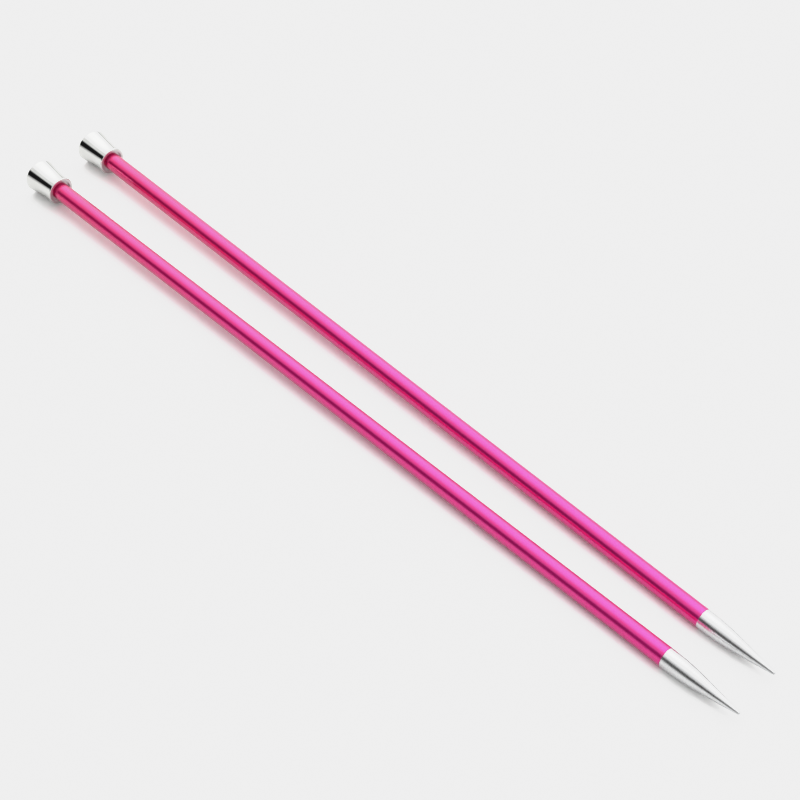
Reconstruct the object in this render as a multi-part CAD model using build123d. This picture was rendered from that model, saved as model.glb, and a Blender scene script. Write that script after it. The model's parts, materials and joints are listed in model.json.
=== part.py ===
from build123d import *
import math
import os

# A pair of straight knitting needles lying side by side on a table, points towards +Y.
# Millimetres, +Z up. Each needle is drawn on its own axis, +Y from the cap's end (station 0)
# to the point, then laid on the table.

# Needle
needle_length = 250.0
shaft_r = 2.5
edge_break = 0.08  # tiny chamfer on both sides of the seam between shaft and tip

# Shaft tube, turned down where it enters the cap
tube_bore_r = 1.7
spigot_r = 2.2
spigot_chamfer = 0.3

# End cap: a waisted trumpet with a flat end, its face recessed around the shaft
cap_length = 10.2
cap_end_r = 4.68
cap_end_round = 0.5
cap_waist_r = 3.9
cap_waist_station = 8.1
cap_belly_r = 4.25
cap_belly_station = 3.6
cap_face_r = 4.0
cap_face_round = 0.3
recess_r = 3.12
recess_depth = 0.6
cap_bore_bottom = 3.0
drill_half_angle = 59.0
cap_bond_start = 4.8
cap_bond_length = 3.0
cap_bond_depth = 0.15

# Tip: a short cylindrical land, a tangent sweep, a straight cone and a rounded point
land_length = 1.5
sweep_length = 8.0
cone_half_angle = 7.8
nose_r = 0.5
tang_length = 12.0
tang_chamfer = 0.3
tip_bond_start = 3.5
tip_bond_length = 5.0
tip_bond_depth = 0.2

# How the pair lies: axes apart at the caps, the left needle set back, both toed in
cap_spacing = 19.1
left_set_back = 1.3
toe_in = 0.59

# Derived
cone = math.radians(cone_half_angle)
sweep_r = sweep_length / math.sin(cone)
cone_start_r = shaft_r - sweep_r * (1 - math.cos(cone))
cone_length = (cone_start_r - nose_r * math.cos(cone)) / math.tan(cone)
nose_length = nose_r * (1 - math.sin(cone))
tip_length = land_length + sweep_length + cone_length + nose_length
seam = needle_length - tip_length
shoulder = cap_length - recess_depth
rest_run = seam + land_length - cap_end_round
tilt = math.degrees(math.atan((cap_end_r - shaft_r) / rest_run))


def turned(*edges):
    """The solid swept by a closed profile of (radius, station) edges about the needle's axis."""
    return revolve(make_face(Curve() + list(edges)), Axis.Y)


def ring(inner, outer, start, length):
    """A plain ring of rectangular section about the needle's axis."""
    end = start + length
    return turned(Polyline((inner, start), (outer, start), (outer, end), (inner, end), close=True))


def make_shaft():
    """Anodised tube: full diameter outside, a thinner spigot inside the cap with a glue groove."""
    spigot_start = cap_bore_bottom + spigot_chamfer
    outline = Polyline(
        (tube_bore_r, spigot_start),
        (spigot_r - spigot_chamfer, spigot_start),
        (spigot_r, spigot_start + spigot_chamfer),
        (spigot_r, shoulder),
        (shaft_r, shoulder),
        (shaft_r, seam - edge_break),
        (shaft_r - edge_break, seam),
        (tube_bore_r, seam),
        close=True,
    )
    groove = ring(spigot_r - cap_bond_depth, spigot_r, cap_bond_start, cap_bond_length)
    return turned(outline) - groove


def make_end_cap():
    """Turned trumpet cap with a blind hole for the spigot and a recess around the shaft."""
    round_end = cap_end_round * (1 - math.sqrt(0.5))
    round_face = cap_face_round * (1 - math.sqrt(0.5))
    drill_depth = spigot_r / math.tan(math.radians(drill_half_angle))
    return turned(
        Line((0, 0), (cap_end_r - cap_end_round, 0)),
        ThreePointArc(
            (cap_end_r - cap_end_round, 0),
            (cap_end_r - round_end, round_end),
            (cap_end_r, cap_end_round),
        ),
        Spline(
            (cap_end_r, cap_end_round),
            (cap_belly_r, cap_belly_station),
            (cap_waist_r, cap_waist_station),
            (cap_face_r, cap_length - cap_face_round),
        ),
        ThreePointArc(
            (cap_face_r, cap_length - cap_face_round),
            (cap_face_r - round_face, cap_length - round_face),
            (cap_face_r - cap_face_round, cap_length),
        ),
        Polyline(
            (cap_face_r - cap_face_round, cap_length),
            (recess_r, cap_length),
            (recess_r, shoulder),
            (spigot_r, shoulder),
            (spigot_r, cap_bore_bottom),
            (0, cap_bore_bottom - drill_depth),
            (0, 0),
        ),
    )


def make_tip():
    """Turned point with a tang that fills the tube's bore, with one glue groove round it."""
    cone_start = seam + land_length + sweep_length
    cone_end = cone_start + cone_length
    cone_end_r = nose_r * math.cos(cone)
    half = cone / 2
    nose_turn = (math.pi / 2 + cone) / 2
    nose_centre = needle_length - nose_r
    outline = turned(
        Polyline(
            (0, needle_length),
            (0, seam - tang_length),
            (tube_bore_r - tang_chamfer, seam - tang_length),
            (tube_bore_r, seam - tang_length + tang_chamfer),
            (tube_bore_r, seam),
            (shaft_r - edge_break, seam),
            (shaft_r, seam + edge_break),
            (shaft_r, seam + land_length),
        ),
        ThreePointArc(
            (shaft_r, seam + land_length),
            (shaft_r - sweep_r * (1 - math.cos(half)), seam + land_length + sweep_r * math.sin(half)),
            (cone_start_r, cone_start),
        ),
        Line((cone_start_r, cone_start), (cone_end_r, cone_end)),
        ThreePointArc(
            (cone_end_r, cone_end),
            (nose_r * math.cos(nose_turn), nose_centre + nose_r * math.sin(nose_turn)),
            (0, needle_length),
        ),
    )
    groove_start = seam - tang_length + tip_bond_start
    return outline - ring(tube_bore_r - tip_bond_depth, tube_bore_r, groove_start, tip_bond_length)


def make_cap_bond():
    """Cured adhesive filling the groove round the spigot."""
    return ring(spigot_r - cap_bond_depth, spigot_r, cap_bond_start, cap_bond_length)


def make_tip_bond():
    """Cured adhesive filling the groove round the tang."""
    start = seam - tang_length + tip_bond_start
    return ring(tube_bore_r - tip_bond_depth, tube_bore_r, start, tip_bond_length)


def lay_down(solid, x, y, turn):
    """Rest a needle on the table: cap rim and shaft both touch, pointing nearly along +Y."""
    return Pos(x, y, cap_end_r) * Rot(0, 0, turn) * Rot(-tilt, 0, 0) * solid


pieces = {
    "shaft": make_shaft(),
    "end_cap": make_end_cap(),
    "cap_bond": make_cap_bond(),
    "tip": make_tip(),
    "tip_bond": make_tip_bond(),
}
nodes = {}
for piece, solid in pieces.items():
    nodes["right_" + piece] = lay_down(solid, cap_spacing / 2, 0, toe_in)
    nodes["left_" + piece] = lay_down(solid, -cap_spacing / 2, -left_set_back, -toe_in)

# Origin: the middle of the pair's footprint, on the table
box = Compound([node.solid() for node in nodes.values()]).bounding_box()
to_origin = Pos(-(box.min.X + box.max.X) / 2, -(box.min.Y + box.max.Y) / 2, -box.min.Z)

os.makedirs("parts", exist_ok=True)
for name, node in nodes.items():
    export_step(to_origin * node, f"parts/{name}.step")
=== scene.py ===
import json
from math import cos, radians, sin

import bmesh
import bpy
import numpy as np
from mathutils import Matrix, Vector


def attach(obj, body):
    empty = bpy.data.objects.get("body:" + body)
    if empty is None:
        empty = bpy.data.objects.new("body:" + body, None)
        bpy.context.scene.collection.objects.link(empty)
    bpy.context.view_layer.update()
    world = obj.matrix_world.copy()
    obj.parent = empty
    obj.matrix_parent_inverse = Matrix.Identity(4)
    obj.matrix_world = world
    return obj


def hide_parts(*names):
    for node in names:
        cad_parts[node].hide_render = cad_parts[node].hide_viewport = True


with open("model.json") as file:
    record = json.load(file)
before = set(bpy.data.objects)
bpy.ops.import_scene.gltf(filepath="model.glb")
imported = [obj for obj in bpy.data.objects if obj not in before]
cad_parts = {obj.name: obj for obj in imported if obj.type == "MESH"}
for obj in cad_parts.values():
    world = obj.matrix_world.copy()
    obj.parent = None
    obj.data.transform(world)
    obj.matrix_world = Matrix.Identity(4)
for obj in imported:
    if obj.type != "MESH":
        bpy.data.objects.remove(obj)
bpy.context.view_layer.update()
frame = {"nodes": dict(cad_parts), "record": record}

# The view: a long lens looks down over the points towards the caps, from the right-hand side of the
# pair, so both needles cross the frame from one corner to the other. The print has soft
# highlights: paper_tone pairs a brightness in the scene with the brightness that it prints as.
view_azimuth = 134.84
view_elevation = 45.22
view_roll = 1.83
view_from = Vector((0.21559, 0.22733, 0.31586))
lens_mm = 79.25
film_mm = 36.0
paper_tone = ((0.95, 0.80), (1.15, 0.845), (1.9, 0.865), (2.6, 0.94))
paper_white = 3.0

turn, rise = radians(view_azimuth), radians(view_elevation)
backward = Vector((sin(turn) * cos(rise), -cos(turn) * cos(rise), sin(rise)))
rightward = Vector((cos(turn), sin(turn), 0.0))
rightward.rotate(Matrix.Rotation(radians(view_roll), 3, backward))
upward = backward.cross(rightward)
lens = bpy.data.cameras.new("view")
lens.lens = lens_mm
lens.sensor_width = film_mm
lens.clip_start = 0.01
lens.clip_end = 50.0
camera = bpy.data.objects.new("view", lens)
camera.matrix_world = Matrix.Translation(view_from) @ Matrix(
    (rightward, upward, backward)).transposed().to_4x4()
bpy.context.scene.collection.objects.link(camera)
bpy.context.scene.camera = camera
look = bpy.context.scene.view_settings
look.view_transform = "Standard"
look.use_curve_mapping = True
look.curve_mapping.clip_max_x = paper_white
print_curve = look.curve_mapping.curves[3]
print_curve.points[-1].location = (paper_white, 1.0)
for light_in, light_out in paper_tone:
    print_curve.points.new(light_in, light_out)
for point in print_curve.points:
    point.handle_type = "VECTOR"
look.curve_mapping.update()


# The table and the room: a white table in a tent of bright cloth, brightest high on the left behind
# the caps. The tent is open in a long strip to the right of the pair, and that strip is the dark
# line on every piece. The lens sees table and backdrop brighter than the needles reflect them.
class Reading:
    """A number that varies over a piece, read from a node's socket. Arithmetic on it, from either
    side, adds Math nodes."""

    def __init__(self, tree, socket):
        self.tree = tree
        self.socket = socket

    def _math(self, operation, first, second):
        made = self.tree.nodes.new("ShaderNodeMath")
        made.operation = operation
        for slot, value in zip(made.inputs, (first, second)):
            if isinstance(value, Reading):
                self.tree.links.new(value.socket, slot)
            else:
                slot.default_value = value
        return Reading(self.tree, made.outputs[0])

    def __add__(self, other):
        return self._math("ADD", self, other)

    def __radd__(self, other):
        return self._math("ADD", other, self)

    def __sub__(self, other):
        return self._math("SUBTRACT", self, other)

    def __rsub__(self, other):
        return self._math("SUBTRACT", other, self)

    def __mul__(self, other):
        return self._math("MULTIPLY", self, other)

    def __rmul__(self, other):
        return self._math("MULTIPLY", other, self)

    def __truediv__(self, other):
        return self._math("DIVIDE", self, other)

    def __rtruediv__(self, other):
        return self._math("DIVIDE", other, self)


class Recipe:
    """The node tree of one finish, emptied and ready for its own nodes."""

    def __init__(self, owner):
        owner.use_nodes = True
        self.tree = owner.node_tree
        self.tree.nodes.clear()

    def node(self, kind, settings=None, sockets=None, out=0):
        """Adds a node: its settings first, then the value or the link of each socket in use,
        which goes by its name, or by its number where two share a name."""
        made = self.tree.nodes.new(kind)
        for name, value in (settings or {}).items():
            if name == "stops":
                ramp = made.color_ramp
                while len(ramp.elements) < len(value):
                    ramp.elements.new(1.0)
                for stop, (place, shade) in zip(ramp.elements, value):
                    stop.position = place
                    stop.color = shade
            else:
                setattr(made, name, value)
        for name, value in (sockets or {}).items():
            slot = next(
                socket for number, socket in enumerate(made.inputs)
                if socket.enabled and name in (socket.name, number))
            if isinstance(value, Reading):
                self.tree.links.new(value.socket, slot)
            else:
                slot.default_value = value
        return Reading(self.tree, made.outputs[out]) if made.outputs else made

    def between(self, reading, span, low=0.0, high=1.0):
        """Follows a reading smoothly from low to high as it goes through the span."""
        return self.node("ShaderNodeMapRange", {"interpolation_type": "SMOOTHSTEP", "clamp": True}, {
            "Value": reading, "From Min": span[0], "From Max": span[1],
            "To Min": low, "To Max": high})


table_reach = 6.0
table_shade = (0.77, 0.77, 0.765, 1.0)
table_roughness = 0.75
table_to_lens = (1.17, 1.17, 1.165, 1.0)

brightest = Vector((-0.42, -0.38, 0.82)).normalized()
cloth_glow = (1.0, 3.1)
cloth_turn = (0.62, 1.0)
cloth = (1.0, 1.0, 1.0, 1.0)
skirt_dim = 0.75
skirt_rise = (0.0, 0.25)
strip_low = (0.04, 0.26)
strip_high = (0.78, 1.15)
strip_back = (-2.6, -1.8)
strip_front = (0.45, 0.8)
strip_side = (0.0, 0.01)
strip_dark = (0.012, 0.012, 0.013, 1.0)
backdrop = (1.5, 1.5, 1.5, 1.0)

edges = np.array([(-1, -1), (1, -1), (1, 1), (-1, 1)]) * table_reach
table_mesh = bpy.data.meshes.new("table")
table_mesh.from_pydata([(x, y, 0.0) for x, y in edges], [], [(0, 1, 2, 3)])
table = bpy.data.objects.new("table", table_mesh)
bpy.context.scene.collection.objects.link(table)
paint = bpy.data.materials.new("table_white")
recipe = Recipe(paint)
shader = recipe.node("ShaderNodeBsdfPrincipled", sockets={
    "Base Color": table_shade, "Roughness": table_roughness, "Specular IOR Level": 0.0})
seen = recipe.node("ShaderNodeLightPath", out=0)
lit = recipe.node("ShaderNodeBsdfDiffuse", sockets={"Color": table_to_lens})
both = recipe.node("ShaderNodeMixShader", sockets={0: seen, 1: shader, 2: lit})
recipe.node("ShaderNodeOutputMaterial", sockets={"Surface": both})
table_mesh.materials.append(paint)

room = bpy.data.worlds.new("tent")
bpy.context.scene.world = room
recipe = Recipe(room)
looking = recipe.node("ShaderNodeTexCoord", out=0)
right, forward, height = (
    recipe.node("ShaderNodeSeparateXYZ", sockets={"Vector": looking}, out=way) for way in range(3))
slope = height / right
slant = forward / right
open_strip = (recipe.between(slope, strip_low) * recipe.between(slope, strip_high, 1.0, 0.0)
              * recipe.between(slant, strip_back) * recipe.between(slant, strip_front, 1.0, 0.0)
              * recipe.between(right, strip_side))
towards = recipe.node("ShaderNodeVectorMath", {"operation": "DOT_PRODUCT"}, {
    "Vector": looking, 1: brightest}, out=1)
glow = (recipe.between(towards, cloth_turn, *cloth_glow)
        * recipe.between(height, skirt_rise, skirt_dim, 1.0))
inside = recipe.node("ShaderNodeMix", {"data_type": "RGBA"}, {
    "Factor": open_strip, "A": cloth, "B": strip_dark}, out=2)
tent = recipe.node("ShaderNodeBackground", sockets={"Color": inside, "Strength": glow})
plain = recipe.node("ShaderNodeBackground", sockets={"Color": backdrop, "Strength": 1.0})
seen = recipe.node("ShaderNodeLightPath", out=0)
both = recipe.node("ShaderNodeMixShader", sockets={0: seen, 1: tent, 2: plain})
recipe.node("ShaderNodeOutputWorld", sockets={"Surface": both})


# The shafts: drawn aluminium tube, polished and anodised a bright pink, with painted light on the
# pink: it turns bluer from the cap end to the point. The end that enters the cap is turned down to a
# thinner spigot with a shallow glue groove, and the other end is cut square at the tip.
mm = 0.001
sides = ("right", "left")
turn_steps = 160
weld_within = 1e-7
smooth_below = radians(28.0)
shaft_r = 2.5 * mm
bore_r = 1.7 * mm
spigot_r = 2.2 * mm
spigot_lead = 0.3 * mm
cap_groove = (4.8 * mm, 7.8 * mm, 0.15 * mm)
seam_break = 0.08 * mm
recess_deep = 0.6 * mm
shaft_rings = 60
needle_length = 250.0 * mm
draw_lines = (2600.0, 20.0, 2600.0)
# Painted light: the pink runs from a deeper crimson at the cap end to a bluer pink at the point. It
# stands in for the brighter light that the point end gets. The pink itself is the dye.
dye_and_painted_light_along = (
    (0.0, (0.82, 0.012, 0.16, 1.0)),
    (0.45, (0.82, 0.018, 0.25, 1.0)),
    (1.0, (0.82, 0.024, 0.28, 1.0)),
)
dye_patches = 0.3


def needle_axis(side):
    """The needle's own axis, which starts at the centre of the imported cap's flat end: that point,
    then unit vectors along the needle, across it (along x up) and above it (across x along)."""
    for mount in frame["record"]["mounts"]:
        if mount["name"] == side + "_cap_end":
            foot = np.array(mount["pos_m"])
            along = -np.array(mount["axis"])
    along = along / np.linalg.norm(along)
    across = np.cross(along, (0.0, 0.0, 1.0))
    across = across / np.linalg.norm(across)
    return foot, along, across, np.cross(across, along)


def reach(side, part):
    """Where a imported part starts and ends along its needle's axis: the least and the greatest of
    (point - foot) . along over its points."""
    foot, along, _, _ = needle_axis(side)
    mesh = frame["nodes"][side + "_" + part].data
    points = np.empty(len(mesh.vertices) * 3, np.float32)
    mesh.vertices.foreach_get("co", points)
    stations = (points.reshape(-1, 3) - foot) @ along
    return float(stations.min()), float(stations.max())


def lathe(name, side, radius, station):
    """Turns a profile about a needle's axis. The point at profile step i and turn angle a is
    foot + along * station[i] + radius[i] * (across * cos a + above * sin a). The profile closes
    on itself, doubles on the axis and the seam are merged, and each point keeps its place on the
    needle's own axis in the attribute on_axis, as (across, along, above)."""
    foot, along, across, above = needle_axis(side)
    angle = np.arange(turn_steps) * (2 * np.pi / turn_steps)
    x = radius[:, None] * np.cos(angle)
    z = radius[:, None] * np.sin(angle)
    y = np.repeat(station[:, None], turn_steps, axis=1)
    own = np.stack([x, y, z], axis=2).reshape(-1, 3)
    placed = foot + own[:, :1] * across + own[:, 1:2] * along + own[:, 2:] * above
    i, j = np.meshgrid(np.arange(len(radius)), np.arange(turn_steps), indexing="ij")
    ahead, beside = (i + 1) % len(radius), (j + 1) % turn_steps
    corners = np.stack([
        i * turn_steps + j, i * turn_steps + beside,
        ahead * turn_steps + beside, ahead * turn_steps + j], axis=2).reshape(-1, 4)
    mesh = bpy.data.meshes.new(name)
    mesh.from_pydata(placed.tolist(), [], corners.tolist())
    kept = mesh.attributes.new("on_axis", "FLOAT_VECTOR", "POINT")
    kept.data.foreach_set("vector", own.astype(np.float32).ravel())
    shell = bmesh.new()
    shell.from_mesh(mesh)
    bmesh.ops.remove_doubles(shell, verts=shell.verts, dist=weld_within)
    bmesh.ops.recalc_face_normals(shell, faces=shell.faces)
    shell.to_mesh(mesh)
    shell.free()
    mesh.shade_smooth()
    mesh.set_sharp_from_angle(angle=smooth_below)
    piece = bpy.data.objects.new(name, mesh)
    bpy.context.scene.collection.objects.link(piece)
    return piece


def fit_on(piece, side, part, finish):
    """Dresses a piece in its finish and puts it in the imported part's place on its needle."""
    piece.data.materials.append(finish)
    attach(piece, side + "_needle")
    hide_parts(side + "_" + part)


anodised = bpy.data.materials.new("pink_anodised")
recipe = Recipe(anodised)
place = recipe.node("ShaderNodeAttribute", {"attribute_name": "on_axis"}, out=1)
along = recipe.node("ShaderNodeSeparateXYZ", sockets={"Vector": place}, out=1)
drawn = recipe.node("ShaderNodeMapping", sockets={"Vector": place, "Scale": draw_lines})
lines = recipe.node("ShaderNodeTexNoise", sockets={"Vector": drawn, "Scale": 1.0, "Detail": 3.0})
cloud = recipe.node("ShaderNodeTexNoise", sockets={"Vector": place, "Scale": 90.0, "Detail": 2.0})
# Base colour: the dye pink plus painted light, bluer towards the point, with random patches in the
# dye.
dye_and_painted_light = recipe.node("ShaderNodeValToRGB", {"stops": dye_and_painted_light_along}, {
    "Fac": along / needle_length + (cloud - 0.5) * dye_patches})
bump = recipe.node("ShaderNodeBump", sockets={
    "Strength": 0.05, "Distance": 0.00002, "Height": lines})
shader = recipe.node("ShaderNodeBsdfPrincipled", sockets={
    "Base Color": dye_and_painted_light, "Metallic": 0.68, "Roughness": 0.22 + lines * 0.06,
    "Coat Weight": 0.75, "Coat Roughness": 0.08, "Coat IOR": 1.5, "Normal": bump})
recipe.node("ShaderNodeOutputMaterial", sockets={"Surface": shader})

for side in sides:
    start, seam = reach(side, "shaft")
    shoulder = reach(side, "end_cap")[1] - recess_deep
    low, high, deep = cap_groove
    plain = np.linspace(shoulder, seam - seam_break, shaft_rings)
    profile = np.concatenate([
        [(bore_r, start), (spigot_r - spigot_lead, start), (spigot_r, start + spigot_lead)],
        [(spigot_r, low), (spigot_r - deep, low), (spigot_r - deep, high), (spigot_r, high)],
        [(spigot_r, shoulder)],
        np.stack([np.full(shaft_rings, shaft_r), plain], axis=1),
        [(shaft_r - seam_break, seam), (bore_r, seam)],
    ])
    tube = lathe(side + "_tube", side, profile[:, 0], profile[:, 1])
    fit_on(tube, side, "shaft", anodised)


# The tips: turned metal points with a satin plated finish. A short plain land the shaft's size runs
# into a long shallow sweep, a straight cone and a small rounded nose. A tang fills the tube's bore
# and is glued there.
land = 1.5 * mm
sweep = 8.0 * mm
cone = radians(7.8)
nose_r = 0.5 * mm
tang_lead = 0.3 * mm
tang_groove = (3.5 * mm, 8.5 * mm, 0.2 * mm)
sweep_steps = 25
nose_steps = 13
tip_marks = (60.0, 9000.0, 60.0)


def arc(centre, size, start, stop, steps):
    """Points on an arc: centre + size * (cos t, sin t), as t goes from start to stop in degrees."""
    t = np.radians(np.linspace(start, stop, steps))
    return np.stack([centre[0] + size * np.cos(t), centre[1] + size * np.sin(t)], axis=1)


satin = bpy.data.materials.new("satin_plate")
recipe = Recipe(satin)
place = recipe.node("ShaderNodeAttribute", {"attribute_name": "on_axis"}, out=1)
turned = recipe.node("ShaderNodeMapping", sockets={"Vector": place, "Scale": tip_marks})
lines = recipe.node("ShaderNodeTexNoise", sockets={"Vector": turned, "Scale": 1.0, "Detail": 2.0})
cloud = recipe.node("ShaderNodeTexNoise", sockets={"Vector": place, "Scale": 260.0, "Detail": 3.0})
plate = recipe.node("ShaderNodeValToRGB", {"stops": (
    (0.3, (0.77, 0.775, 0.78, 1.0)), (0.7, (0.83, 0.835, 0.84, 1.0)))}, {"Fac": cloud})
bump = recipe.node("ShaderNodeBump", sockets={
    "Strength": 0.04, "Distance": 0.00002, "Height": lines})
shader = recipe.node("ShaderNodeBsdfPrincipled", sockets={
    "Base Color": plate, "Metallic": 1.0, "Roughness": 0.24 + lines * 0.08, "Normal": bump})
recipe.node("ShaderNodeOutputMaterial", sockets={"Surface": shader})

sweep_r = sweep / sin(cone)
for side in sides:
    start, apex = reach(side, "tip")
    seam = reach(side, "shaft")[1]
    low, high, deep = tang_groove
    low, high = start + low, start + high
    profile = np.concatenate([
        [(0.0, start), (bore_r - tang_lead, start), (bore_r, start + tang_lead)],
        [(bore_r, low), (bore_r - deep, low), (bore_r - deep, high), (bore_r, high)],
        [(bore_r, seam), (shaft_r - seam_break, seam), (shaft_r, seam + seam_break)],
        arc((shaft_r - sweep_r, seam + land), sweep_r, 0.0, np.degrees(cone), sweep_steps),
        arc((0.0, apex - nose_r), nose_r, np.degrees(cone), 90.0, nose_steps),
    ])
    point = lathe(side + "_point", side, profile[:, 0], profile[:, 1])
    fit_on(point, side, "tip", satin)


# The end caps: turned trumpets plated mirror bright, duller on the flat end, and darker and duller
# round the shaft, which is partly a turned finish and partly painted shade where the face meets the
# shaft. The wide flat end stops the stitches. The body narrows to a waist, its face is let in a
# little around the shaft, and a blind hole takes the spigot, which is glued in.
cap_end_r = 4.68 * mm
cap_end_round = 0.5 * mm
cap_side = np.array(((4.68, 0.5), (4.25, 3.6), (3.9, 8.1), (4.0, 9.9))) * mm
cap_side_steps = 49
cap_end_steps = 13
cap_face_round = 0.3 * mm
cap_face_steps = 9
recess_r = 3.12 * mm
hole_bottom = 3.0 * mm
drill_half_angle = radians(59.0)
cap_marks = (90.0, 6000.0, 90.0)
# Painted shade: within these radii and away from the flat end, the cap is darker and duller round
# the shaft. This is partly a turned finish and partly shade painted at the joint. The flat end is
# duller as faced.
shade_and_dull_within = (3.4 * mm, 3.8 * mm)
shade_and_dull_beyond = (0.5 * mm, 1.5 * mm)
faced_before = (0.02 * mm, 0.1 * mm)
faced_dull = 0.5
as_turned_and_shade = (0.64, 0.61, 0.62, 1.0)

bright = bpy.data.materials.new("mirror_plate")
recipe = Recipe(bright)
place = recipe.node("ShaderNodeAttribute", {"attribute_name": "on_axis"}, out=1)
turned = recipe.node("ShaderNodeMapping", sockets={"Vector": place, "Scale": cap_marks})
lines = recipe.node("ShaderNodeTexNoise", sockets={"Vector": turned, "Scale": 1.0, "Detail": 2.0})
cloud = recipe.node("ShaderNodeTexNoise", sockets={"Vector": place, "Scale": 300.0, "Detail": 3.0})
plate = recipe.node("ShaderNodeValToRGB", {"stops": (
    (0.3, (0.77, 0.775, 0.755, 1.0)), (0.7, (0.83, 0.835, 0.815, 1.0)))}, {"Fac": cloud})
bump = recipe.node("ShaderNodeBump", sockets={
    "Strength": 0.02, "Distance": 0.00002, "Height": lines})
flat = recipe.node("ShaderNodeVectorMath", {"operation": "MULTIPLY"}, {
    0: place, 1: (1.0, 0.0, 1.0)})
off_axis = recipe.node("ShaderNodeVectorMath", {"operation": "LENGTH"}, {0: flat}, out=1)
along = recipe.node("ShaderNodeSeparateXYZ", sockets={"Vector": place}, out=1)
# Darker, duller metal round the shaft on the face and in the recess: partly turned finish, partly
# painted shade.
dull_and_painted_shade = (recipe.between(off_axis, shade_and_dull_within, 1.0, 0.0) * recipe.between(along, shade_and_dull_beyond)
        + recipe.between(along, faced_before, faced_dull, 0.0))
metal = recipe.node("ShaderNodeMix", {"data_type": "RGBA"}, {
    "Factor": dull_and_painted_shade, "A": plate, "B": as_turned_and_shade}, out=2)
shader = recipe.node("ShaderNodeBsdfPrincipled", sockets={
    "Base Color": metal, "Metallic": 1.0, "Roughness": 0.02 + cloud * 0.05 + dull_and_painted_shade * 0.28,
    "Normal": bump})
recipe.node("ShaderNodeOutputMaterial", sockets={"Surface": shader})

curve = np.polyfit(cap_side[:, 1], cap_side[:, 0], 3)
up = np.linspace(cap_side[0, 1], cap_side[-1, 1], cap_side_steps)
drill_point = spigot_r / np.tan(drill_half_angle)
for side in sides:
    face = reach(side, "end_cap")[1]
    shoulder = face - recess_deep
    profile = np.concatenate([
        [(0.0, 0.0)],
        arc((cap_end_r - cap_end_round, cap_end_round),
            cap_end_round, -90.0, 0.0, cap_end_steps)[:-1],
        np.stack([np.polyval(curve, up), up], axis=1),
        arc((cap_side[-1, 0] - cap_face_round, face - cap_face_round),
            cap_face_round, 0.0, 90.0, cap_face_steps)[1:],
        [(recess_r, face), (recess_r, shoulder), (spigot_r, shoulder)],
        [(spigot_r, hole_bottom), (0.0, hole_bottom - drill_point)],
    ])
    cap = lathe(side + "_cap", side, profile[:, 0], profile[:, 1])
    fit_on(cap, side, "end_cap", bright)


# The adhesive rings: clear adhesive, cured hard in the shallow grooves of the spigot, where it holds
# the cap, and of the tang, where it holds the tip in the tube. The rings are sealed inside and
# only show when a needle is taken apart.
cured = bpy.data.materials.new("cured_adhesive")
recipe = Recipe(cured)
place = recipe.node("ShaderNodeAttribute", {"attribute_name": "on_axis"}, out=1)
bubbles = recipe.node("ShaderNodeTexVoronoi", sockets={"Vector": place, "Scale": 2600.0})
amber = recipe.node("ShaderNodeValToRGB", {"stops": (
    (0.1, (0.80, 0.76, 0.62, 1.0)), (0.6, (0.70, 0.62, 0.44, 1.0)))}, {"Fac": bubbles})
bump = recipe.node("ShaderNodeBump", sockets={
    "Strength": 0.2, "Distance": 0.00005, "Height": bubbles})
shader = recipe.node("ShaderNodeBsdfPrincipled", sockets={
    "Base Color": amber, "Roughness": 0.2 + bubbles * 0.3, "Normal": bump})
recipe.node("ShaderNodeOutputMaterial", sockets={"Surface": shader})

glue_rings = (
    ("cap_bond", spigot_r - cap_groove[2], spigot_r),
    ("tip_bond", bore_r - tang_groove[2], bore_r),
)
for side in sides:
    for part, inner, outer in glue_rings:
        start, stop = reach(side, part)
        radius = np.array((inner, outer, outer, inner))
        station = np.array((start, start, stop, stop))
        ring = lathe(side + "_" + part + "_glue", side, radius, station)
        fit_on(ring, side, part, cured)
